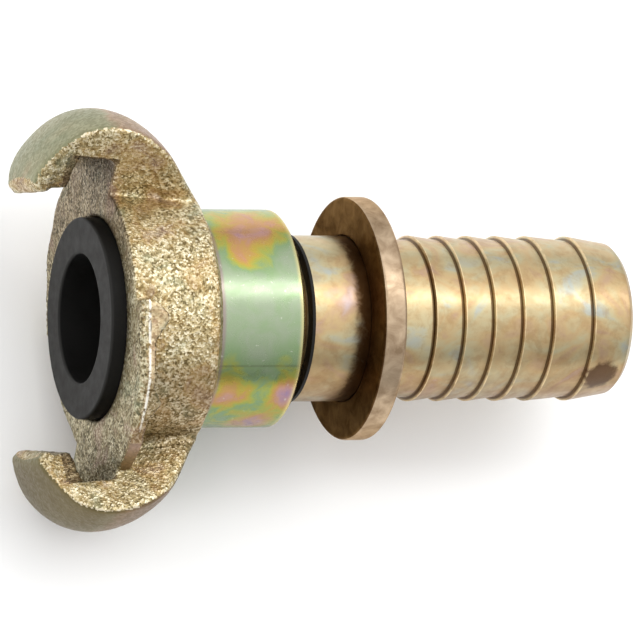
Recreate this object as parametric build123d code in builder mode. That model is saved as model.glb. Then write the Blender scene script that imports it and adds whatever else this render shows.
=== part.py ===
"""Swivel claw coupling with a barbed hose tail, claw distance 42 mm, for 25 mm hose.

The coupling's axis runs along X. X = 0 is the face of the seal: the two claws reach to its -X
side and the hose tail leaves towards +X. Every piece is drawn with the claws along +Y and -Y,
and is then turned about X by rest_roll, so that the coupling lies with +Z up on the edge of one
claw and the end of one cam lug.
"""
import os
from math import atan2, cos, degrees, hypot, radians, sqrt, tan

from build123d import *

# ---- driving sizes, in millimetres and degrees --------------------------------------------
# claws
claw_distance = 42.0        # between the flat inner faces of the two claw lips
claw_outer_r = 34.0         # highest point of a claw's back
claw_apex_x = 1.5           # where along the axis that highest point lies
claw_reach = 9.8            # how far the claws stand out in front of the seal
claw_half_width = 8.4       # half width of a claw at its lip, level with the seal
claw_flare = 36.9           # how a claw's side faces open outwards
claw_draft = 11.3           # how they draw in towards its nose
lip_nose = 1.4              # slope between the claw's nose and its lip
lip_back_x = -5.2           # back of the lip at its inner edge
lip_lean = 1.0              # how far that back leans towards the head
pocket_r = 27.8             # roof of the hook, over the mating coupling's lug
pocket_round = 1.2
claw_edge_round = 0.7       # cast edges along a claw's back

# head
head_front_x = 2.3
head_back_x = 16.5
head_r = 21.5               # rim between claws and lugs
hub_start_x = 19.6
hub_end_x = 32.5
hub_r = 17.8
hub_chamfer = 0.4

# cam lugs on the rim
lug_r = 26.5
lug_flat = 24.7             # from the axis to the flat on each lug
lug_end = 3.0               # how far a lug runs past the middle of the rim
lug_foot = 26.0             # how far it runs towards the claw
lug_back_x = 4.6            # back face, which the mating claw pulls on
lug_stop_x = 6.8            # top of the stop at the lug's end
lug_stop_length = 6.6
lug_bump_x = 6.2            # top of the bump that the mating claw snaps over
lug_bump_y = -11.0          # where the bump starts
lug_bump_length = 5.2
lug_round = 0.8

# face seal and its seat
seal_r = 16.35
seal_bore_r = 10.45
seal_foot_r = 17.7
seal_foot_x = 5.4
seal_back_x = 8.0
seal_gap = 0.15             # free play round the seal
seal_round = 0.4

# swivel
bore_r = 9.5
spigot_r = 11.8             # slim front end of the tail, which carries the retaining ring
spigot_front_x = 8.6
spigot_chamfer = 0.4
journal_r = 13.85
journal_end_x = 29.5
run_gap = 0.08              # radial running clearance of the swivel
end_play = 0.1              # axial play of the swivel, on each side of the web
web_front_x = 11.6          # the head's inner web, between washer and journal
web_thickness = 2.0
cavity_r = 14.7             # room in front of the web
washer_thickness = 0.8
washer_r = 14.3
ring_thickness = 1.2        # split retaining ring
ring_groove_depth = 0.8
ring_r = 13.6
ring_opening = 5.0
o_ring_section = 2.2
o_ring_places = (18.2, 24.6)
o_ring_groove_width = 2.9
o_ring_gap = 0.05           # from the rings to the hub's bore
seat_gap = 0.05             # round a piece that is fixed on the tail

# hose tail
relief_r = 11.7             # slim stretch between journal and neck
neck_r = 13.6
neck_start_x = 35.7
collar_x = 45.9
collar_thickness = 3.5
collar_r = 20.0
collar_chamfer = 0.4
dust_ring_thickness = 0.5
dust_ring_r = 13.9
barb_r = 13.6
barb_step = 0.6
barb_places = (57.0, 62.2, 67.4, 72.6, 78.0, 85.2)
tail_end_x = 92.9
tail_end_r = 12.6
tail_chamfer = 0.8

# ---- sizes that follow --------------------------------------------------------------------
lip_r = claw_distance / 2
nose_r = lip_r + lip_nose
lip_root_x = lip_back_x + lip_lean
web_back_x = web_front_x + web_thickness
hub_bore_r = journal_r + run_gap
journal_start_x = web_back_x + end_play
washer_back_x = web_front_x - end_play
washer_front_x = washer_back_x - washer_thickness
ring_front_x = washer_front_x - ring_thickness
ring_seat_r = spigot_r - ring_groove_depth
o_ring_seat_r = hub_bore_r - o_ring_gap - o_ring_section
collar_back_x = collar_x + collar_thickness
barb_foot_r = barb_r - barb_step

# A claw's side face opens by flare_rate for each millimetre outwards, and by draft_rate for
# each millimetre along X.
flare_rate = tan(radians(claw_flare))
draft_rate = tan(radians(claw_draft)) / cos(radians(claw_flare))

# The claw's outer corner (edge_y, edge_z) is where its side face meets the outer radius. The
# coupling rests on that corner and on the end of the lug beside it.
side_offset = claw_half_width + draft_rate * claw_apex_x - flare_rate * lip_r
side_norm = 1 + flare_rate ** 2
edge_y = (sqrt(side_norm * claw_outer_r ** 2 - side_offset ** 2)
          - side_offset * flare_rate) / side_norm
edge_z = side_offset + flare_rate * edge_y
rest_roll = degrees(atan2(lug_flat - edge_z, edge_y - lug_end))


def ring_profile(x_start, x_end, r_inner, r_outer, mode=Mode.ADD):
    """Rectangle between two places along the axis and two radii, in the open sketch."""
    with Locations(((x_start + x_end) / 2, (r_inner + r_outer) / 2)):
        Rectangle(x_end - x_start, r_outer - r_inner, mode=mode)


# ---- claws: a hook profile turned about the axis, kept inside two tapering wedges ----------
front_run = claw_apex_x + claw_reach
front_drop = claw_outer_r - nose_r
back_run = head_back_x - claw_apex_x
back_drop = claw_outer_r - head_r
apex = (claw_apex_x, claw_outer_r)
claw_brow = (claw_apex_x - 0.63 * front_run, claw_outer_r - 0.3 * front_drop)
claw_nape = (claw_apex_x + 0.38 * back_run, claw_outer_r - 0.125 * back_drop)
claw_heel = (claw_apex_x + 0.65 * back_run, claw_outer_r - 0.4 * back_drop)
claw_root_r = (seal_foot_r + head_r) / 2
lip_blank_r = lip_r - 1       # the turned lip, before its flat is cut


def runs_along_back(edge):
    """True for an edge between a claw's back and one of its side faces."""
    middle = edge @ 0.5
    radius = hypot(middle.Y, middle.Z)
    is_pocket_roof = abs(radius - pocket_r) < 0.1
    return edge.bounding_box().size.X > 2 * lip_lean and radius > nose_r + 1 and not is_pocket_roof


with BuildPart() as claws:
    with BuildSketch(Plane.XY) as hook:
        with BuildLine():
            crown = TangentArc(apex, claw_brow, tangent=(-1, 0))
            TangentArc(claw_brow, (-claw_reach, nose_r), tangent=crown % 1)
            Polyline(
                (-claw_reach, nose_r),
                (-claw_reach, lip_blank_r),
                (lip_back_x, lip_blank_r),
                (lip_root_x, pocket_r),
                (head_front_x, pocket_r),
                (head_front_x, claw_root_r),
                (head_back_x, claw_root_r),
                (head_back_x, head_r),
                claw_heel,
            )
            back = TangentArc(apex, claw_nape, tangent=(1, 0))
            TangentArc(claw_nape, claw_heel, tangent=back % 1)
        make_face()
        pocket_corners = hook.vertices().filter_by_position(Axis.Y, pocket_r - 0.01, pocket_r + 0.01)
        fillet(pocket_corners, pocket_round)
    revolve(axis=Axis.X)
    wedge_x = head_back_x + 1
    wedge_root = lip_r - (claw_half_width + draft_rate * wedge_x) / flare_rate
    wedge_top = 1.4 * claw_outer_r
    wedge_half = (wedge_top - wedge_root) * flare_rate
    with BuildSketch(Plane(origin=(wedge_x, 0, 0), x_dir=(0, 1, 0), z_dir=(-1, 0, 0))):
        with PolarLocations(0, 2):
            Polygon((wedge_root, 0), (wedge_top, wedge_half), (wedge_top, -wedge_half), align=None)
    extrude(amount=wedge_x + claw_reach + 1, taper=claw_draft, mode=Mode.INTERSECT)
    fillet(claws.edges().filter_by(runs_along_back), claw_edge_round)
    # the gap between the lips: flat faces claw_distance apart, sloping open at the noses
    with BuildSketch(Plane.XY):
        with BuildLine():
            Polyline(
                (-claw_reach - 1, lip_r + 2 * lip_nose),
                (-claw_reach + lip_nose, lip_r),
                (lip_root_x + 1, lip_r),
                (lip_root_x + 1, -lip_r),
                (-claw_reach + lip_nose, -lip_r),
                (-claw_reach - 1, -lip_r - 2 * lip_nose),
                close=True,
            )
        make_face()
    extrude(amount=claw_outer_r, both=True, mode=Mode.SUBTRACT)

# ---- cam lugs: an outline drawn on the rim, cut to a disc with two flats -------------------
with BuildPart() as lugs:
    with BuildSketch(Plane.XY) as lug_outline:
        with BuildLine():
            Polyline(
                (head_front_x, lug_end),
                (lug_back_x, lug_end),
                (lug_stop_x, lug_end - lug_stop_length / 3),
                (lug_stop_x, lug_end - lug_stop_length / 2),
                (lug_back_x, lug_end - lug_stop_length),
                (lug_back_x, lug_bump_y),
                (lug_bump_x, lug_bump_y - lug_bump_length / 2),
                (lug_back_x, lug_bump_y - lug_bump_length),
                (lug_back_x, -lug_foot),
                (head_front_x, -lug_foot),
                close=True,
            )
        make_face()
        bends = lug_outline.vertices().filter_by_position(Axis.Y, -lug_foot + 1, lug_end - 1)
        fillet(bends, lug_round)
    extrude(amount=lug_r + 1)
    with BuildSketch(Plane.YZ.offset(head_front_x)):
        Circle(lug_r)
        Rectangle(2 * lug_r + 2, 2 * lug_flat, mode=Mode.INTERSECT)
    extrude(amount=lug_stop_x - head_front_x + 1, mode=Mode.INTERSECT)
    add(lugs.part.rotate(Axis.X, 180))

# ---- cast head: rim, claws, lugs and the turned hub ---------------------------------------
with BuildPart() as claw_head:
    with BuildSketch(Plane.XY):
        with BuildLine():
            Polyline(
                (head_front_x, 0),
                (head_front_x, head_r),
                (head_back_x, head_r),
                (hub_start_x, hub_r),
                (hub_end_x - hub_chamfer, hub_r),
                (hub_end_x, hub_r - hub_chamfer),
                (hub_end_x, 0),
                close=True,
            )
        make_face()
    revolve(axis=Axis.X)
    add(claws.part)
    add(lugs.part)
    with BuildSketch(Plane.XY):
        ring_profile(head_front_x - 1, seal_back_x, 0, seal_r + seal_gap)
        ring_profile(seal_foot_x, seal_back_x, 0, seal_foot_r + seal_gap)
        ring_profile(seal_foot_x, web_front_x, 0, cavity_r)
        ring_profile(seal_foot_x, hub_end_x, 0, spigot_r + run_gap)
        ring_profile(web_back_x, hub_end_x + 1, 0, hub_bore_r)
    revolve(axis=Axis.X, mode=Mode.SUBTRACT)

# ---- face seal: a moulded ring whose foot snaps into the head's undercut -------------------
with BuildPart() as face_seal:
    with BuildSketch(Plane.XY) as seal_section:
        ring_profile(0, seal_back_x, seal_bore_r, seal_r)
        ring_profile(seal_foot_x + seal_gap, seal_back_x, seal_bore_r, seal_foot_r)
        front_rim = seal_section.vertices().group_by(Axis.X)[0].sort_by(Axis.Y)[-1]
        fillet(front_rim, seal_round)
    revolve(axis=Axis.X)

# ---- hose tail: turned in one piece, with spigot, journal, neck and barbs ------------------
with BuildPart() as hose_tail:
    with BuildSketch(Plane.XY):
        with BuildLine():
            outline = [
                (spigot_front_x, bore_r),
                (spigot_front_x, spigot_r - spigot_chamfer),
                (spigot_front_x + spigot_chamfer, spigot_r),
                (journal_start_x, spigot_r),
                (journal_start_x, journal_r),
                (journal_end_x, journal_r),
                (journal_end_x, relief_r),
                (neck_start_x, relief_r),
                (neck_start_x, neck_r),
                (collar_back_x, neck_r),
                (collar_back_x, barb_foot_r),
            ]
            for barb_x in barb_places:
                outline.append((barb_x - barb_step / 2, barb_foot_r))
                outline.append((barb_x, barb_r))
            outline.append((tail_end_x - tail_chamfer, tail_end_r))
            outline.append((tail_end_x, tail_end_r - tail_chamfer))
            outline.append((tail_end_x, bore_r))
            Polyline(*outline, close=True)
        make_face()
        ring_profile(ring_front_x, washer_front_x, ring_seat_r, spigot_r + 1, mode=Mode.SUBTRACT)
        for place in o_ring_places:
            groove_start_x = place - o_ring_groove_width / 2
            ring_profile(groove_start_x, groove_start_x + o_ring_groove_width,
                         o_ring_seat_r, journal_r + 1, mode=Mode.SUBTRACT)
    revolve(axis=Axis.X)

# ---- safety collar: a ring joined to the neck, which the hose clamp's claws hook over ------
with BuildPart() as safety_collar:
    with BuildSketch(Plane.XY) as collar_section:
        ring_profile(collar_x, collar_back_x, neck_r + seat_gap, collar_r)
        rim_corners = collar_section.vertices().filter_by_position(Axis.Y, collar_r - 0.01, collar_r + 0.01)
        chamfer(rim_corners, collar_chamfer)
    revolve(axis=Axis.X)

# ---- dust ring: a thin flat ring against the neck's shoulder -------------------------------
with BuildPart() as dust_ring:
    with BuildSketch(Plane.XY):
        ring_profile(neck_start_x - dust_ring_thickness, neck_start_x,
                     relief_r + seat_gap, dust_ring_r)
    revolve(axis=Axis.X)

# ---- thrust washer and split retaining ring, which hold the tail in the head ---------------
with BuildPart() as thrust_washer:
    with BuildSketch(Plane.XY):
        ring_profile(washer_front_x, washer_back_x, spigot_r + seat_gap, washer_r)
    revolve(axis=Axis.X)

with BuildPart() as retaining_ring:
    with BuildSketch(Plane.YZ.offset(ring_front_x)):
        Circle(ring_r)
        Circle(ring_seat_r + seat_gap, mode=Mode.SUBTRACT)
        with Locations((ring_r, 0)):
            Rectangle(ring_r, ring_opening, mode=Mode.SUBTRACT)
    extrude(amount=ring_thickness)


def o_ring(place):
    """One round-section ring, lying on the floor of its groove in the journal."""
    with BuildPart() as ring:
        with BuildSketch(Plane.XY):
            with Locations((place, o_ring_seat_r + o_ring_section / 2)):
                Circle(o_ring_section / 2)
        revolve(axis=Axis.X)
    return ring.part


# ---- every piece is turned to the way the coupling lies, and written ----------------------
pieces = {
    "claw_head": claw_head.part,
    "face_seal": face_seal.part,
    "hose_tail": hose_tail.part,
    "safety_collar": safety_collar.part,
    "dust_ring": dust_ring.part,
    "thrust_washer": thrust_washer.part,
    "retaining_ring": retaining_ring.part,
    "front_o_ring": o_ring(o_ring_places[0]),
    "rear_o_ring": o_ring(o_ring_places[1]),
}

os.makedirs("parts", exist_ok=True)
for name, piece in pieces.items():
    lying = piece.rotate(Axis.X, rest_roll)
    lying.label = name
    export_step(lying, f"parts/{name}.step")
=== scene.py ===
"""Looks of the swivel claw coupling: sandy yellow-chromated casting, turned hose tail and rubber seal."""
import math

import bmesh
import bpy
import numpy as np
from mathutils import Matrix, Vector, noise


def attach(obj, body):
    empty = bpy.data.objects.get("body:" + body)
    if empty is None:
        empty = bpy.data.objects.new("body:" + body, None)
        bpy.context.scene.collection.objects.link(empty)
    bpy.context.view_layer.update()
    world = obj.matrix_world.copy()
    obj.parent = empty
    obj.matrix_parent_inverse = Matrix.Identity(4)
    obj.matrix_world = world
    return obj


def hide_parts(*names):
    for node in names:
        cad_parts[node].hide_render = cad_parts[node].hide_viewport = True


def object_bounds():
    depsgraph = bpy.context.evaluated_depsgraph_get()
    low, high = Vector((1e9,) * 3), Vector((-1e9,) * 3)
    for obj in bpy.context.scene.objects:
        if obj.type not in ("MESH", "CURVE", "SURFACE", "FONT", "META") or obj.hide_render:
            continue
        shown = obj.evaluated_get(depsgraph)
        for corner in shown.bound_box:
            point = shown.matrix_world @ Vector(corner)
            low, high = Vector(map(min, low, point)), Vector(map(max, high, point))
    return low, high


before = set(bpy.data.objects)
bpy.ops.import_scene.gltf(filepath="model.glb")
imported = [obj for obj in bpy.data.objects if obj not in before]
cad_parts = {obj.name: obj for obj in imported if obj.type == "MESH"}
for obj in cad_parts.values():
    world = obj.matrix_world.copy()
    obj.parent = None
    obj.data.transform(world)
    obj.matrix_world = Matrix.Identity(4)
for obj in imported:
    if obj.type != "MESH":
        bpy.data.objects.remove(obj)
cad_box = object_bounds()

MM = 0.001
ROLL = math.radians(18.39)      # how far the coupling is turned about its axis as it lies
ROLLED = Matrix.Rotation(ROLL, 3, "X")

# ---- drawn sizes in millimetres, x from the seal's face ---------------------------------------
HEAD_FRONT_X = 2.3
HEAD_BACK_X = 16.5
HEAD_R = 21.5
LIP_BACK_X = -5.2               # the side of the claws' lips that faces the head
LIP_R = 21.0
POCKET_R = 27.8
LUG_FLAT = 24.7                 # from the axis to a lug's flat outer face
LUG_R = 26.5
HUB_START_X = 19.6
HUB_END_X = 32.5
HUB_R = 17.8
HUB_BORE_R = 13.93
HUB_CHAMFER = 0.4
SEAL_R = 16.35
SEAL_BORE_R = 10.45
SEAL_FOOT_X = 5.55
SEAL_FOOT_R = 17.7
SEAL_BACK_X = 8.0
BORE_R = 9.5
SPIGOT_X = 8.6
SPIGOT_R = 11.8
JOURNAL_X = 13.7
JOURNAL_END_X = 29.5
JOURNAL_R = 13.85
RELIEF_R = 11.7
NECK_X = 35.7
NECK_R = 13.6
COLLAR_R = 20.0
COLLAR_CHAMFER = 0.4
BARBS = (57.0, 62.2, 67.4, 72.6, 78.0, 85.2)
TAIL_END_X = 92.9
TAIL_END_R = 12.6
TAIL_CHAMFER = 0.8
FIXED_GAP = 0.05                # round a ring that is fixed on the tail

# ---- sizes of this one coupling, where it differs from the drawing ----------------------------
COLLAR_X = 45.4
COLLAR_BACK_X = 49.3
BARB_R = 13.7
BARB_STEP = 0.7
TAIL_CUT_SHORT = 0.2
SHOULDER_LENGTH = 0.6           # of the length drawn
LUG_WEAR = 1.2                  # the chamfer worn on the lugs' front edges
LIP_FULLER = 0.6
LOWER_LIP_FULLER = 1.2
NOSE_FULLER = 0.75
UPPER_REACH = 0.5
LOWER_REACH = -0.25
LOWER_DROP = 0.5
LOWER_LIP_DROP = 0.6
HEEL_FULLER = 1.15

# ---- where these reach, in millimetres --------------------------------------------------------
LUG_EDGE_X = HEAD_FRONT_X + LUG_WEAR
LUG_FADES = 0.6 * LUG_FLAT      # along the claws, where a lug's worn edge begins to fade
LUG_ENDS = 0.8 * LUG_FLAT       # and where it ends
CLAWS_BEGIN = LIP_R - 2         # along the claws
CLAW_TIP_X = -9
CLAW_BEND_X = -4                # where a claw's reach begins to change
NOSE_X = -7.6
NOSE_FOOT_X = -6.2
HEEL_X = 14
HEEL_LENGTH = 5.5
SWIVEL_BORE_X = 9               # behind this the bores hold the swivel
HUB_OVERLAP = 1.6               # of the hub's band, into the casting

# ---- the casting's skin, in millimetres -------------------------------------------------------
VOXEL = 0.37                    # the mesh's step
GRAIN_RELIEF = 0.075
LUMP_RELIEF = 0.10
BACK_RELIEF = 0.35              # on the claws' smooth backs, as a share of the relief elsewhere
GRAINS_PER_MM = 1.3
LUMPS_PER_MM = 0.33
SMOOTH_STEPS = 2                # of the mesh, after the remesh


# ---- building pieces --------------------------------------------------------------------------
def lying(x, across, towards):
    """Row-frame point from millimetres along the axis, along the claws and at right angles to both."""
    return ROLLED @ Vector((x, across, towards)) * MM


def unrolled(rows):
    """Rows of row-frame vectors, along the axis, along the claws and at right angles to both."""
    return rows @ np.array(ROLLED)


def smoothstep(low, high, value):
    t = np.clip((value - low) / (high - low), 0, 1)
    return t * t * (3 - 2 * t)


def read(collection, attribute):
    """A vector attribute of a mesh's vertices or polygons as rows of numbers."""
    values = np.empty(len(collection) * 3)
    collection.foreach_get(attribute, values)
    return values.reshape(-1, 3)


def link(name, data):
    thing = bpy.data.objects.new(name, data)
    bpy.context.scene.collection.objects.link(thing)
    return thing


def facing(right, up, back):
    """The rotation of a lamp or a camera with these directions."""
    return Matrix((right, up, back)).transposed().to_euler()


def soften(profile, size):
    """The closed profile with each corner rounded over about size, in millimetres."""
    longest = 0.4               # of a side, that a rounding takes
    hold = 0.03                 # from a rounding to the next point, which keeps the sides' shading flat
    rounded = []
    for before, corner, after in zip(profile[-1:] + profile[:-1], profile, profile[1:] + profile[:1]):
        before, corner, after = Vector(before), Vector(corner), Vector(after)
        cut_in = min(size, longest * (before - corner).length)
        cut_out = min(size, longest * (after - corner).length)
        into = (before - corner).normalized()
        out = (after - corner).normalized()
        start = corner + into * cut_in
        end = corner + out * cut_out
        rounded.append(start + into * min(hold, cut_in / 4))
        for step in (0.0, 0.3, 0.7, 1.0):
            rounded.append((1 - step) ** 2 * start + 2 * step * (1 - step) * corner + step ** 2 * end)
        rounded.append(end + out * min(hold, cut_out / 4))
    return rounded


def turned(name, profile, edge, segments=256):
    """A piece turned about the X axis from a closed profile of (x, radius) in millimetres."""
    outline = soften(profile, edge)
    count = len(outline)
    points = []
    for k in range(segments):
        angle = 2 * math.pi * k / segments
        for p in outline:
            points.append((p.x * MM, p.y * MM * math.cos(angle), p.y * MM * math.sin(angle)))
    faces = []
    for k in range(segments):
        here = k * count
        there = (k + 1) % segments * count
        for i in range(count):
            j = (i + 1) % count
            faces.append((here + i, here + j, there + j, there + i))
    mesh = bpy.data.meshes.new(name)
    mesh.from_pydata(points, [], faces)
    work = bmesh.new()
    work.from_mesh(mesh)
    bmesh.ops.recalc_face_normals(work, faces=work.faces)
    work.to_mesh(mesh)
    work.free()
    mesh.shade_smooth()
    return link(name, mesh)


def claw_backs(places, normals):
    """True on the smooth backs of the claws, for places in millimetres and their normals."""
    middle_x, middle_r, squeeze = 2, 24.5, 0.8      # of a claw, seen from its side
    radius = np.hypot(places[:, 1], places[:, 2])
    out = np.stack((squeeze * (places[:, 0] - middle_x), np.zeros(len(places)), radius - middle_r), axis=1)
    out /= np.linalg.norm(out, axis=1)[:, None]
    radial = (normals[:, 1] * places[:, 1] + normals[:, 2] * places[:, 2]) / radius
    outward = normals[:, 0] * out[:, 0] + radial * out[:, 2]
    across = np.abs(unrolled(places)[:, 1]) / radius
    return (outward > 0.72) & (radius > HEAD_R + 1.2) & (across > 0.74) & (places[:, 0] < HEAD_BACK_X)


def hand_fettled(places):
    """Places on the casting in millimetres, moved by the wear and the unevenness of this one coupling."""
    flat = unrolled(places)
    x, across, towards = flat[:, 0], flat[:, 1], flat[:, 2]
    size = np.abs(across)
    off_axis = np.hypot(across, towards)
    is_claw = size > CLAWS_BEGIN
    upper = is_claw * (across > 0)
    lower = is_claw * (across < 0)
    # the shoulder behind the rim is steep
    x = np.where(x > HEAD_BACK_X, HEAD_BACK_X + SHOULDER_LENGTH * (x - HEAD_BACK_X), x)
    # the lugs' front edges are worn to a chamfer
    depth = np.maximum(np.abs(towards) - LUG_FLAT, off_axis - LUG_R)
    depth -= LUG_WEAR * smoothstep(LUG_FADES, LUG_ENDS, size)
    is_lug = (depth > -LUG_WEAR) & (size < LUG_ENDS) & (x < LUG_EDGE_X)
    x = np.where(is_lug, np.maximum(x, LUG_EDGE_X + depth), x)
    # the lips are thick, and the lower one most
    lip = is_claw & (off_axis < POCKET_R - 0.3) & (x < LIP_BACK_X + 1.6)
    fuller = np.where(lower, LOWER_LIP_FULLER, LIP_FULLER)
    x = x + fuller * lip * smoothstep(LIP_BACK_X - 1.8, LIP_BACK_X, x)
    # the noses are full on the side of the gap
    nose = is_claw * smoothstep(NOSE_FOOT_X, NOSE_X, x) * smoothstep(LIP_R + 3.5, LIP_R + 0.8, size)
    across = across - np.sign(across) * NOSE_FULLER * nose
    # the upper claw reaches far out, and the lower one sits low, with a slanting lip and a full heel
    x = x - (UPPER_REACH * upper + LOWER_REACH * lower) * smoothstep(CLAW_BEND_X, CLAW_TIP_X, x)
    heel = np.exp(-((x - HEEL_X) / HEEL_LENGTH) ** 2) * smoothstep(HEAD_R - 2, HEAD_R + 4, size)
    slant = smoothstep(LIP_R + 4, LIP_R + 1, size) * smoothstep(LIP_BACK_X + 1, LIP_BACK_X - 2.5, x)
    across = across - lower * (LOWER_DROP + HEEL_FULLER * heel + LOWER_LIP_DROP * slant)
    return np.stack((x, across, towards), axis=1) @ np.array(ROLLED).T


def remeshed(name, node, end_x):
    """A CAD node up to end_x as an even mesh with softened edges."""
    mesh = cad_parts[node].data.copy()
    work = bmesh.new()
    work.from_mesh(mesh)
    bmesh.ops.remove_doubles(work, verts=work.verts, dist=1e-6)
    everything = work.verts[:] + work.edges[:] + work.faces[:]
    cut = bmesh.ops.bisect_plane(
        work, geom=everything, plane_co=(end_x * MM, 0, 0), plane_no=(1, 0, 0), clear_outer=True)
    rims = [part for part in cut["geom_cut"] if isinstance(part, bmesh.types.BMEdge)]
    bmesh.ops.triangle_fill(work, edges=rims, use_beauty=True)
    bmesh.ops.recalc_face_normals(work, faces=work.faces)
    work.to_mesh(mesh)
    work.free()
    piece = link(name, mesh)
    remesh = piece.modifiers.new("remesh", "REMESH")
    remesh.mode = "VOXEL"
    remesh.voxel_size = VOXEL * MM
    smooth = piece.modifiers.new("smooth", "SMOOTH")
    smooth.factor = 0.5
    smooth.iterations = SMOOTH_STEPS
    shown = piece.evaluated_get(bpy.context.evaluated_depsgraph_get())
    even = bpy.data.meshes.new_from_object(shown)
    piece.modifiers.clear()
    piece.data = even
    return piece


def casting(name, node, end_x):
    """A CAD node up to end_x with the worn edges and uneven skin of a sand casting."""
    piece = remeshed(name, node, end_x)
    mesh = piece.data
    places = read(mesh.vertices, "co") / MM
    mesh.vertices.foreach_set("co", (hand_fettled(places) * MM).ravel())
    mesh.update()
    places = read(mesh.vertices, "co") / MM
    normals = read(mesh.vertices, "normal")
    radius = np.hypot(places[:, 1], places[:, 2])
    # the seal's seat is machined, and the rest is rough
    rough = smoothstep(SEAL_R + 0.5, SEAL_R + 1.5, radius)
    rough *= np.where(claw_backs(places, normals), BACK_RELIEF, 1.0)
    elsewhere = Vector((7, 3, 1))       # so that the lumps don't follow the grain
    grain = np.array([noise.noise(Vector(p) * GRAINS_PER_MM) for p in places])
    lumps = np.array([noise.noise(Vector(p) * LUMPS_PER_MM + elsewhere) for p in places])
    places += normals * (rough * (GRAIN_RELIEF * grain + LUMP_RELIEF * lumps))[:, None]
    # the bores stay clear of the swivel's turned pieces
    radius = np.hypot(places[:, 1], places[:, 2])
    is_bore = (places[:, 0] > SWIVEL_BORE_X) & (radius < HUB_BORE_R + 0.6)
    clear = np.where(is_bore, HUB_BORE_R + 0.15, 0)
    places[:, 1:] *= (np.maximum(radius, clear) / radius)[:, None]
    mesh.vertices.foreach_set("co", (places * MM).ravel())
    mesh.update()
    mesh.shade_smooth()
    return piece


def dress(piece, body, slot, node, *materials):
    """The piece wears its materials, rides on a body and stands for a CAD node; slot is not used."""
    piece.data.materials.clear()
    for material in materials:
        piece.data.materials.append(material)
    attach(piece, body)
    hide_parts(node)


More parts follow.
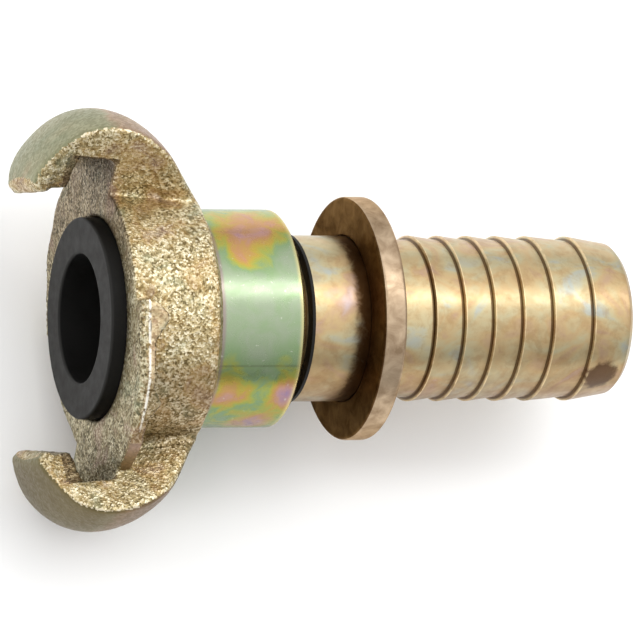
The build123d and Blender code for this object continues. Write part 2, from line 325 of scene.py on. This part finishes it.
# ---- materials --------------------------------------------------------------------------------
class Paint:
    """A material and short ways to build its nodes."""

    def __init__(self, name, metallic, roughness=0.5):
        self.material = bpy.data.materials.new(name)
        self.material.use_nodes = True
        self.tree = self.material.node_tree
        self.shader = self.tree.nodes["Principled BSDF"]
        self.shader.inputs["Metallic"].default_value = metallic
        self.shader.inputs["Roughness"].default_value = roughness
        flat = self.add("Mapping")
        flat.inputs["Rotation"].default_value = (-ROLL, 0, 0)
        self.feed(flat.inputs["Vector"], self.add("TexCoord").outputs["Object"])
        self.place = flat.outputs["Vector"]

    def add(self, kind, **settings):
        new = self.tree.nodes.new("ShaderNode" + kind)
        for key, value in settings.items():
            setattr(new, key, value)
        return new

    def feed(self, socket, value):
        """Join a socket to another one, or set its number, vector or colour."""
        if isinstance(value, bpy.types.NodeSocket):
            self.tree.links.new(value, socket)
        elif socket.type == "RGBA":
            socket.default_value = (*value, 1)
        else:
            socket.default_value = value

    def stretched(self, x, y, z):
        """Places for a pattern that is drawn out the more, the smaller the number."""
        mapping = self.add("Mapping")
        self.feed(mapping.inputs["Vector"], self.place)
        self.feed(mapping.inputs["Scale"], (x, y, z))
        return mapping.outputs["Vector"]

    def noise(self, size, detail=3.0, roughness=0.5, distortion=0.0, place=None):
        """Noise with features of about size, in millimetres."""
        new = self.add("TexNoise")
        self.feed(new.inputs["Vector"], place or self.place)
        self.feed(new.inputs["Scale"], 1 / (size * MM))
        self.feed(new.inputs["Detail"], detail)
        self.feed(new.inputs["Roughness"], roughness)
        self.feed(new.inputs["Distortion"], distortion)
        return new.outputs["Fac"]

    def cells(self, size):
        """Cells of about size, in millimetres: a random grey for each, and the distance to its middle."""
        new = self.add("TexVoronoi")
        self.feed(new.inputs["Vector"], self.place)
        self.feed(new.inputs["Scale"], 1 / (size * MM))
        split = self.add("SeparateColor")
        self.feed(split.inputs[0], new.outputs["Color"])
        return split.outputs[0], new.outputs["Distance"]

    def ramp(self, fac, *stops):
        """Colours, or greys, at places from 0 to 1."""
        new = self.add("ValToRGB")
        self.feed(new.inputs["Fac"], fac)
        elements = new.color_ramp.elements
        while len(elements) < len(stops):
            elements.new(0.5)
        for element, (position, colour) in zip(elements, stops):
            element.position = position
            if isinstance(colour, (int, float)):
                colour = (colour, colour, colour)
            element.color = (*colour, 1)
        return new.outputs["Color"]

    def mix(self, fac, first, second, blend="MIX"):
        new = self.add("Mix", data_type="RGBA", blend_type=blend)
        self.feed(new.inputs[0], fac)
        self.feed(new.inputs[6], first)
        self.feed(new.inputs[7], second)
        return new.outputs[2]

    def tinted(self, colour, mask, strength, tint, blend="MIX"):
        """The colour, mixed with a tint by the strength where the mask is 1."""
        return self.mix(self.math("MULTIPLY", mask, strength), colour, tint, blend)

    def math(self, operation, first, second=0.0):
        new = self.add("Math", operation=operation)
        self.feed(new.inputs[0], first)
        self.feed(new.inputs[1], second)
        return new.outputs[0]

    def along(self, axis="X"):
        """Millimetres along the axis (X), along the claws (Y) or at right angles to both (Z)."""
        split = self.add("SeparateXYZ")
        self.feed(split.inputs[0], self.place)
        return self.math("MULTIPLY", split.outputs[axis], 1 / MM)

    def distance(self, place):
        """Millimetres from a place, which is in unrolled millimetres."""
        gap = self.add("VectorMath", operation="DISTANCE")
        self.feed(gap.inputs[0], self.place)
        self.feed(gap.inputs[1], [c * MM for c in place])
        return self.math("MULTIPLY", gap.outputs["Value"], 1 / MM)

    def between(self, low, high, value):
        """0 below low and 1 above high, or the other way round where low is the larger."""
        new = self.add("MapRange", interpolation_type="SMOOTHSTEP")
        self.feed(new.inputs["Value"], value)
        self.feed(new.inputs["From Min"], low)
        self.feed(new.inputs["From Max"], high)
        return new.outputs["Result"]

    def band(self, low, high, soft, value):
        """1 from low to high, fading over soft."""
        rising = self.between(low - soft, low, value)
        falling = self.between(high + soft, high, value)
        return self.math("MULTIPLY", rising, falling)

    def halo(self, place, radius):
        """1 at a place, falling to 0 at radius."""
        return self.between(radius, 0, self.distance(place))

    def blot(self, place, radius, ragged):
        """1 round a place, ending at radius with an uneven edge."""
        unevenness = self.math("MULTIPLY", self.noise(1.2), ragged)
        edge = self.math("ADD", self.distance(place), unevenness)
        return self.between(radius + 0.5 * ragged, radius, edge)

    def bump(self, height, distance, strength):
        """Bump from a height of 0 to 1 that stands for distance, in millimetres."""
        new = self.add("Bump")
        self.feed(new.inputs["Height"], height)
        self.feed(new.inputs["Distance"], distance * MM)
        self.feed(new.inputs["Strength"], strength)
        normal = self.shader.inputs["Normal"]
        if normal.is_linked:
            self.feed(new.inputs["Normal"], normal.links[0].from_socket)
        self.feed(normal, new.outputs["Normal"])

    def turning_marks(self, size, depth, stretch=0.02, strength=0.6):
        """Fine rings round the axis, as a lathe leaves them."""
        rings = self.noise(size, 2, place=self.stretched(1, stretch, stretch))
        self.bump(rings, depth, strength)

    def finish(self, colour, roughness=None):
        self.feed(self.shader.inputs["Base Color"], colour)
        if roughness is not None:
            self.feed(self.shader.inputs["Roughness"], roughness)
        return self.material


def sand_cast(name, dark, middle, light, tint, depth=0.11, rough=(0.56, 0.28), painted_shade_band=None):
    """Sandy cast iron under yellow chromate: dark pits, gold skin, bright grains, tinted patches and a
    painted highlight on the lugs' edges.

    Depth is the relief in millimetres, rough the roughness of pits and grains, and the last argument a band
    of painted shade across the claws: from, to, how softly and how strongly.
    """
    paint = Paint(name, 0.92)
    shade, pits = paint.cells(0.33)
    clouds = paint.noise(0.9, 5, 0.7)
    level = paint.math("ADD", paint.math("MULTIPLY", shade, 0.3), paint.math("MULTIPLY", clouds, 0.7))
    skin = paint.ramp(level, (0.34, dark), (0.5, middle), (0.68, light))
    film = paint.noise(6, 3, 0.55, 0.6)
    greenish, pinkish = (0.27, 0.30, 0.19), (0.40, 0.26, 0.20)
    tints = paint.ramp(film, (0.34, greenish), (0.47, middle), (0.57, tint), (0.68, pinkish))
    colour = paint.mix(paint.ramp(film, (0.36, 0.4), (0.47, 0.1), (0.58, 0.5)), skin, tints)
    stains = paint.between(0.52, 0.75, paint.noise(3, 4, 0.6, 0.4))
    colour = paint.tinted(colour, stains, 0.4, dark)
    # painted shade: a band across the claws darkened where less light falls
    if painted_shade_band is not None:
        low, high, soft, strength = painted_shade_band
        painted_shade_and_stain = paint.band(low, high, soft, paint.along("Y"))
        colour = paint.tinted(colour, painted_shade_and_stain, strength, (0.50, 0.42, 0.36), "MULTIPLY")
    # painted highlight: a broken bright line along the lugs' worn front edges
    edge_highlight_breaks = paint.between(0.42, 0.50, paint.noise(0.9, 5, 0.75))
    colour = paint.mix(paint.math("MULTIPLY", lug_edge(paint), edge_highlight_breaks), colour, (0.92, 0.88, 0.78))
    paint.bump(pits, depth, 0.8)
    paint.bump(paint.noise(0.45, 5, 0.7), depth, 0.9)
    paint.bump(paint.noise(1.8), 1.5 * depth, 0.6)
    return paint.finish(colour, paint.ramp(level, (0.3, rough[0]), (0.7, rough[1])))


def lug_edge(paint):
    """1 along the edge between a lug's worn front and its outer face, where a painted highlight goes."""
    across, towards = paint.along("Y"), paint.along("Z")
    squares = paint.math("ADD", paint.math("POWER", across, 2), paint.math("POWER", towards, 2))
    over_round = paint.math("SUBTRACT", paint.math("SQRT", squares), LUG_R)
    over_flat = paint.math("SUBTRACT", paint.math("ABSOLUTE", towards), LUG_FLAT)
    depth = paint.math("MAXIMUM", over_flat, over_round)
    line = paint.band(LUG_EDGE_X - 0.12, LUG_EDGE_X + 0.1, 0.12, paint.along())
    is_lug = paint.between(LUG_ENDS, LUG_FADES, paint.math("ABSOLUTE", across))
    on_face = paint.math("MULTIPLY", line, paint.between(-0.75, -0.45, depth))
    return paint.math("MULTIPLY", on_face, is_lug)


def painted_edge_highlight():
    """Painted highlight along the claws' edges where back turns into side, brighter in patches."""
    paint = Paint("painted_edge_highlight", 0.8, 0.35)
    highlight_patches = paint.between(0.36, 0.46, paint.noise(1.2, 4, 0.65))
    paint.bump(paint.noise(0.5, 4, 0.6), 0.06, 0.6)
    return paint.finish(paint.mix(highlight_patches, (0.32, 0.25, 0.13), (0.66, 0.58, 0.42)))


def claw_back_chromate():
    """The smoother backs of the claws: grey-green film that turns pink beside the rim, and the lower claw's
    back darkened as painted shade.
    """
    paint = Paint("claw_back_chromate", 0.92)
    clouds = paint.math("MULTIPLY", paint.noise(6, 3, 0.5, 0.6), 0.4)
    towards_rim = paint.math("MULTIPLY", paint.band(4, 9, 6, paint.along()), 0.18)
    film = paint.math("ADD", clouds, paint.math("ADD", towards_rim, 0.22))
    colour = paint.ramp(
        film,
        (0.30, (0.22, 0.24, 0.14)),
        (0.46, (0.32, 0.31, 0.19)),
        (0.56, (0.40, 0.28, 0.18)),
        (0.66, (0.36, 0.25, 0.20)),
        (0.80, (0.24, 0.25, 0.15)),
    )
    lower = paint.between(-20, -25, paint.along("Y"))
    rust = paint.math("MULTIPLY", lower, paint.ramp(film, (0.35, 0.6), (0.6, 0.25)))
    colour = paint.mix(rust, colour, (0.22, 0.14, 0.055))
    # painted shade: the lower claw's back darkened all over
    colour = paint.tinted(colour, lower, 0.8, (0.50, 0.45, 0.36), "MULTIPLY")
    specks, pits = paint.cells(0.45)
    colour = paint.tinted(colour, specks, 0.35, (0.14, 0.12, 0.06))
    paint.bump(pits, 0.05, 0.6)
    paint.bump(paint.noise(0.6, 4, 0.6), 0.06, 0.6)
    return paint.finish(colour, paint.ramp(specks, (0.2, 0.40), (0.8, 0.54)))


def hub_chromate():
    """Smooth turned band whose chromate film shimmers from sage green through yellow and pink to teal."""
    paint = Paint("hub_chromate", 1.0)
    x, across = paint.along(), paint.along("Y")
    thicker_film = (            # round a place in unrolled millimetres: the radius, and by how much
        ((26.5, 15.0, 9.6), 9.5, 0.36),
        ((21.0, 13.0, 12.2), 5.0, 0.14),
        ((22.5, 9.5, 15.0), 3.5, 0.24),
        ((30.5, 10.5, 14.4), 4.0, -0.12),
        ((21.0, -12.5, 12.7), 6.0, 0.32),
        ((31.0, -12.5, 12.7), 5.5, 0.50),
        ((27.5, -16.8, 5.9), 6.0, 0.42),
        ((20.0, -7.0, 16.4), 5.0, 0.16),
        ((29.5, -6.5, 16.6), 4.0, 0.18),
    )
    lively = paint.math("ADD", paint.between(5, 11, across), paint.between(-6, -10, across))
    swing = paint.math("ADD", paint.math("MULTIPLY", lively, 0.24), 0.32)
    film = paint.math("MULTIPLY", paint.noise(4.5, 3, 0.55, 1.2), swing)
    for place, radius, height in thicker_film:
        film = paint.math("ADD", film, paint.math("MULTIPLY", paint.halo(place, radius), height))
    colour = paint.ramp(
        film,
        (0.12, (0.29, 0.345, 0.24)),
        (0.28, (0.23, 0.33, 0.17)),
        (0.36, (0.34, 0.37, 0.09)),
        (0.45, (0.46, 0.34, 0.07)),
        (0.55, (0.49, 0.27, 0.12)),
        (0.66, (0.48, 0.27, 0.24)),
        (0.78, (0.34, 0.22, 0.33)),
        (0.90, (0.15, 0.27, 0.24)),
        (1.00, (0.26, 0.34, 0.16)),
    )
    parting_line = paint.band(-7.75, -7.55, 0.15, across)
    colour = paint.tinted(colour, parting_line, 0.35, (0.12, 0.13, 0.07))
    # painted shade: the hub's lower side darkened
    shaded_underside = paint.between(-7.5, -15, across)
    colour = paint.tinted(colour, shaded_underside, 0.9, (0.72, 0.76, 0.74), "MULTIPLY")
    start = paint.between(HUB_START_X - 0.5, HUB_START_X - 1.1, x)
    colour = paint.tinted(colour, start, 0.6, (0.28, 0.17, 0.20))
    rim = paint.between(HUB_END_X - 1.2, HUB_END_X - 0.3, x)
    colour = paint.tinted(colour, rim, 0.7, (0.66, 0.55, 0.24))
    paint.turning_marks(0.25, 0.008)
    nicks = paint.between(0.70, 0.76, paint.noise(0.7, 2))
    colour = paint.tinted(colour, nicks, 0.5, (0.60, 0.62, 0.52))
    return paint.finish(colour, paint.ramp(paint.noise(2.5), (0.3, 0.22), (0.7, 0.33)))


def tail_chromate():
    """Turned steel under a thin champagne film, browned beside the collar, with painted shade mixed with
    brown stain on the underside, painted shade inside the hub and in the barbs' steps, and painted highlights
    on the crests.
    """
    paint = Paint("tail_chromate", 1.0)
    x = paint.along()
    film = paint.noise(6, 3, 0.5, 1.0, paint.stretched(0.7, 1, 1))
    colour = paint.ramp(
        film,
        (0.28, (0.41, 0.43, 0.38)),
        (0.40, (0.50, 0.44, 0.27)),
        (0.55, (0.52, 0.38, 0.20)),
        (0.66, (0.47, 0.32, 0.21)),
        (0.78, (0.47, 0.38, 0.38)),
    )
    warm = paint.between(0.44, 0.66, paint.noise(3.0, 5, 0.7, 0.3))
    colour = paint.tinted(colour, warm, 0.4, (0.33, 0.19, 0.08))
    mottle = paint.noise(2.2, 4, 0.6, 0.4)
    # painted shade on the underside, mottled with brown stain
    shaded_underside = paint.between(-5, -12.5, paint.along("Y"))
    painted_shade_and_stain = paint.math("MULTIPLY", shaded_underside, paint.ramp(mottle, (0.3, 0.45), (0.7, 0.75)))
    colour = paint.mix(painted_shade_and_stain, colour, (0.20, 0.11, 0.045))
    # scorched beside the collar
    heat = paint.math("MULTIPLY", paint.between(40.0, COLLAR_X - 0.3, x), 0.7)
    reached = paint.between(0.6, 0.95, paint.math("ADD", heat, paint.math("MULTIPLY", mottle, 0.62)))
    before_collar = paint.between(COLLAR_BACK_X + 0.2, COLLAR_BACK_X, x)
    colour = paint.mix(paint.math("MULTIPLY", reached, before_collar), colour, (0.08, 0.04, 0.015))
    # painted shade in the barbs' steps and a painted highlight along their crests
    brightness = paint.ramp(mottle, (0.38, 0.15), (0.58, 0.75))
    for barb in BARBS:
        step = paint.band(barb - 0.52, barb - 0.24, 0.12, x)
        crest = paint.band(barb - 0.06, barb + 0.06, 0.12, x)
        colour = paint.tinted(colour, step, 0.85, (0.09, 0.045, 0.015))
        colour = paint.tinted(colour, crest, brightness, (0.82, 0.64, 0.38))
    stain = paint.blot((87.8, -9.4, 9.1), 3.6, 2.4)
    colour = paint.tinted(colour, stain, 0.9, (0.08, 0.04, 0.018))
    mouth = paint.between(TAIL_END_X - 2.2, TAIL_END_X, x)
    colour = paint.tinted(colour, mouth, 0.45, (0.24, 0.15, 0.07))
    # painted shade: the tail darkened brown where it runs inside the hub
    inside_hub = paint.between(NECK_X - 0.4, NECK_X - 0.9, x)
    colour = paint.mix(inside_hub, colour, (0.22, 0.12, 0.04))
    paint.turning_marks(0.3, 0.010)
    paint.bump(paint.noise(5), 0.05, 0.5)
    return paint.finish(colour, paint.ramp(mottle, (0.3, 0.28), (0.7, 0.42)))


def collar_chromate(name, dark, light, roughness):
    """The collar's film, mottled between two browns."""
    paint = Paint(name, 1.0)
    mottle = paint.noise(3.2, 4, 0.62, 0.5)
    paint.bump(paint.noise(0.6), 0.02, 0.6)
    paint.feed(paint.shader.inputs["Specular Tint"], (0.8, 0.66, 0.52))
    colour = paint.ramp(mottle, (0.32, dark), (0.66, light))
    return paint.finish(colour, paint.ramp(mottle, (0.3, roughness + 0.08), (0.7, roughness - 0.05)))


def rubber(name, lit_front_grey, shaded_side_grey):
    """Black moulded rubber with a faint dusty bloom, its front face painted lighter as lit and its sides and
    bore painted darker as shade.
    """
    paint = Paint(name, 0.0)
    bloom = paint.noise(2.2, 4, 0.6)
    front = paint.ramp(bloom, (0.35, lit_front_grey), (0.75, 1.5 * lit_front_grey))
    sides = paint.ramp(bloom, (0.35, shaded_side_grey), (0.75, 1.4 * shaded_side_grey))
    # painted light and shade: lighter front face, darker sides and bore
    colour = paint.mix(paint.between(0.05, 0.5, paint.along()), front, sides)
    warm = paint.mix(1.0, colour, (1.0, 0.93, 0.82), "MULTIPLY")
    paint.bump(paint.noise(0.35), 0.02, 0.7)
    paint.feed(paint.shader.inputs["Specular IOR Level"], 0.22)
    return paint.finish(warm, paint.ramp(bloom, (0.3, 0.5), (0.7, 0.68)))


def plain_metal(name, colour, roughness):
    """Hidden washers and rings, with fine turning marks."""
    paint = Paint(name, 1.0, roughness)
    dark = tuple(0.8 * c for c in colour)
    paint.turning_marks(0.2, 0.01, stretch=0.1, strength=0.5)
    return paint.finish(paint.ramp(paint.noise(1.5), (0.3, dark), (0.7, colour)))


def matte_white():
    return Paint("floor_white", 0.0, 0.9).finish((0.94, 0.94, 0.94))


# ---- the head: casting, hub and seal ----------------------------------------------------------
head_skins = (
    # the gold skin has painted shade low on the rim, where less light falls
    sand_cast("sand_gold", (0.11, 0.075, 0.025), (0.47, 0.375, 0.195), (0.98, 0.90, 0.68), (0.46, 0.29, 0.10),
              painted_shade_band=(-19, -10, 5, 0.6)),
    claw_back_chromate(),
    # the front faces: a darker copy of the gold skin as painted shade, darker still under the upper hook
    sand_cast("sand_front_painted_shade", (0.06, 0.045, 0.02), (0.36, 0.30, 0.17), (0.92, 0.85, 0.62), (0.30, 0.24, 0.12),
              painted_shade_band=(17, 60, 15, 0.8)),
    sand_cast("lug_face", (0.26, 0.18, 0.10), (0.46, 0.35, 0.20), (0.62, 0.52, 0.35), (0.44, 0.27, 0.19),
              depth=0.05, rough=(0.5, 0.34)),
    # the claws' edges, where back turns into side, wear a painted highlight
    painted_edge_highlight(),
    # painted shade: dark skin for the pockets under the hooks and the lugs' back walls
    sand_cast("hook_painted_shade", (0.06, 0.04, 0.02), (0.20, 0.14, 0.07), (0.52, 0.42, 0.26), (0.12, 0.07, 0.03)),
)
GOLD, BACK, FRONT, LUG_FACE, EDGE, BROWN = range(len(head_skins))


def skin_numbers(mesh):
    """For each polygon of the casting, which of head_skins it wears."""
    places = read(mesh.polygons, "center") / MM
    normals = read(mesh.polygons, "normal")
    flat_places, flat_normals = unrolled(places), unrolled(normals)
    x, across, towards = flat_places[:, 0], flat_places[:, 1], flat_places[:, 2]
    radius = np.hypot(places[:, 1], places[:, 2])
    # how far a polygon faces along the axis, and round it
    backward = normals[:, 0]
    sideways = np.abs(flat_normals[:, 2] * across - flat_normals[:, 1] * towards) / radius
    is_lug_back = (backward > 0.25) & (radius > HEAD_R + 0.5) & (x < 8) & (np.abs(across) < LUG_ENDS)
    is_front = (backward < -0.7) & (np.abs(x - HEAD_FRONT_X) < 0.8)
    is_pocket = (radius < POCKET_R + 0.5) & (x < HEAD_FRONT_X + 0.3) & (x > LIP_BACK_X - 0.4)
    is_lug_face = (np.abs(towards) > LUG_FLAT - 0.4) & (np.abs(flat_normals[:, 2]) > 0.93)
    # where a claw's back turns into its side
    is_turn = (sideways > 0.6) & (sideways < 0.85) & (np.abs(backward) < 0.6)
    is_edge = is_turn & (radius > POCKET_R + 1.5) & (x > -7) & (x < 5)
    numbers = np.full(len(places), GOLD)
    numbers[claw_backs(places, normals)] = BACK
    # painted shade in the pockets and as a dark line behind the lugs
    numbers[is_lug_back | is_pocket] = BROWN
    # front faces wear the darker copy of the gold skin, painted shade
    numbers[is_front] = FRONT
    numbers[is_lug_face] = LUG_FACE
    # painted highlight along these edges
    numbers[is_edge] = EDGE
    return numbers


head = casting("head_casting", "claw_head", HUB_START_X - 0.05)
dress(head, "head", "cast_head", "claw_head", *head_skins)
head.data.polygons.foreach_set("material_index", skin_numbers(head.data))

hub = turned("hub_band", [
    (HUB_START_X - HUB_OVERLAP, HUB_BORE_R), (HUB_START_X - HUB_OVERLAP, HUB_R),
    (HUB_END_X - HUB_CHAMFER, HUB_R), (HUB_END_X, HUB_R - HUB_CHAMFER), (HUB_END_X, HUB_BORE_R),
], edge=0.12)
dress(hub, "head", "cast_head", "claw_head", hub_chromate())

seal = turned("seal_ring", [
    (0, SEAL_BORE_R), (0, SEAL_R), (SEAL_FOOT_X, SEAL_R), (SEAL_FOOT_X, SEAL_FOOT_R),
    (SEAL_BACK_X, SEAL_FOOT_R), (SEAL_BACK_X, SEAL_BORE_R),
], edge=0.4, segments=192)
dress(seal, "head", "seal_rubber", "face_seal", rubber("seal_rubber", 0.011, 0.003))

# ---- the tail: barbed hose tail, collar and the pieces that stay as in the solids -------------
barb_foot = BARB_R - BARB_STEP
tail_end_x = TAIL_END_X - TAIL_CUT_SHORT
tail_profile = [
    (SPIGOT_X, BORE_R), (SPIGOT_X, SPIGOT_R), (JOURNAL_X, SPIGOT_R), (JOURNAL_X, JOURNAL_R),
    (JOURNAL_END_X, JOURNAL_R), (JOURNAL_END_X, RELIEF_R), (NECK_X, RELIEF_R), (NECK_X, NECK_R),
    (COLLAR_BACK_X, NECK_R), (COLLAR_BACK_X, barb_foot),
]
for barb in BARBS:
    tail_profile += [(barb - BARB_STEP / 2, barb_foot), (barb, BARB_R)]
tail_profile += [
    (tail_end_x - TAIL_CHAMFER, TAIL_END_R), (tail_end_x, TAIL_END_R - TAIL_CHAMFER), (tail_end_x, BORE_R),
]
tail = turned("turned_tail", tail_profile, edge=0.08)
dress(tail, "tail", "turned_tail", "hose_tail", tail_chromate())

collar = turned("collar_ring", [
    (COLLAR_X, NECK_R + FIXED_GAP), (COLLAR_X, COLLAR_R - COLLAR_CHAMFER),
    (COLLAR_X + COLLAR_CHAMFER, COLLAR_R), (COLLAR_BACK_X - COLLAR_CHAMFER, COLLAR_R),
    (COLLAR_BACK_X, COLLAR_R - COLLAR_CHAMFER), (COLLAR_BACK_X, NECK_R + FIXED_GAP),
], edge=0.3)
dress(
    collar, "tail", "collar", "safety_collar",
    collar_chromate("collar_film", (0.26, 0.18, 0.11), (0.50, 0.38, 0.26), 0.36),
    collar_chromate("collar_front_painted_shade", (0.045, 0.018, 0.005), (0.15, 0.085, 0.035), 0.42),
)
for face in collar.data.polygons:
    face.material_index = int(face.normal.x < -0.7)     # painted shade on its front face

ring_black = rubber("ring_rubber", 0.008, 0.008)
carried_over = {
    "dust_ring": ring_black,
    "front_o_ring": ring_black,
    "rear_o_ring": ring_black,
    "thrust_washer": plain_metal("washer_brass", (0.72, 0.56, 0.28), 0.35),
    "retaining_ring": plain_metal("spring_steel", (0.30, 0.30, 0.31), 0.4),
}
for node, material in carried_over.items():
    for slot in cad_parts[node].material_slots:
        slot.material = material

# ---- floor and light --------------------------------------------------------------------------
bpy.ops.mesh.primitive_plane_add(size=8, location=(0, 0, cad_box[0][2] - 0.1 * MM))
floor = bpy.context.object
floor.name = "floor"
floor.data.materials.append(matte_white())


def softbox(name, direction, distance, length, width, power):
    """An area light, its length along the coupling, that faces the coupling's middle."""
    data = bpy.data.lights.new(name, "AREA")
    data.shape = "RECTANGLE"
    data.size = length
    data.size_y = width
    data.energy = power
    light = link(name, data)
    away = (ROLLED @ Vector(direction)).normalized()
    side = away.cross(Vector((1, 0, 0))).normalized()
    light.location = lying(45, 0, 0) + away * distance
    light.rotation_euler = facing(side.cross(away), side, away)


softbox("key_light", (0.34, 0.49, 0.80), distance=1.1, length=1.1, width=0.24, power=2.4)
softbox("front_light", (-0.85, 0.35, 0.65), distance=1.3, length=0.5, width=0.5, power=1.2)

HORIZON, OVERHEAD = 0.45, 1.7           # the studio's brightness
BRIGHT_SIDE = (0, 0.5, 0.87)            # overhead, and somewhat along the upper claw
world = bpy.data.worlds.new("studio")
bpy.context.scene.world = world
world.use_nodes = True
sky = world.node_tree.nodes
towards_lamp = sky.new("ShaderNodeVectorMath")
towards_lamp.operation = "DOT_PRODUCT"
towards_lamp.inputs[1].default_value = ROLLED @ Vector(BRIGHT_SIDE)
glow = sky.new("ShaderNodeMapRange")
glow.inputs["To Min"].default_value = HORIZON
glow.inputs["To Max"].default_value = OVERHEAD
world.node_tree.links.new(sky.new("ShaderNodeTexCoord").outputs["Generated"], towards_lamp.inputs[0])
world.node_tree.links.new(towards_lamp.outputs["Value"], glow.inputs["Value"])
world.node_tree.links.new(glow.outputs["Result"], sky["Background"].inputs["Strength"])
sky["Background"].inputs["Color"].default_value = (1, 1, 1, 1)
bpy.context.scene.view_settings.view_transform = "Standard"

# ---- camera -----------------------------------------------------------------------------------
CAMERA_TURN = math.radians(21.18)       # how far it swings from square-on towards the claws
CAMERA_PLACE = (-299.3, 0, 880.2)       # in unrolled millimetres
camera_data = bpy.data.cameras.new("camera")
camera_data.lens = 323.6
camera_data.sensor_width = 36
camera_data.shift_y = -0.0025
camera_data.clip_end = 20
camera = link("camera", camera_data)
camera.location = lying(*CAMERA_PLACE)
right = ROLLED @ Vector((math.cos(CAMERA_TURN), 0, math.sin(CAMERA_TURN)))
up = ROLLED @ Vector((0, 1, 0))
camera.rotation_euler = facing(right, up, right.cross(up))
bpy.context.scene.camera = camera
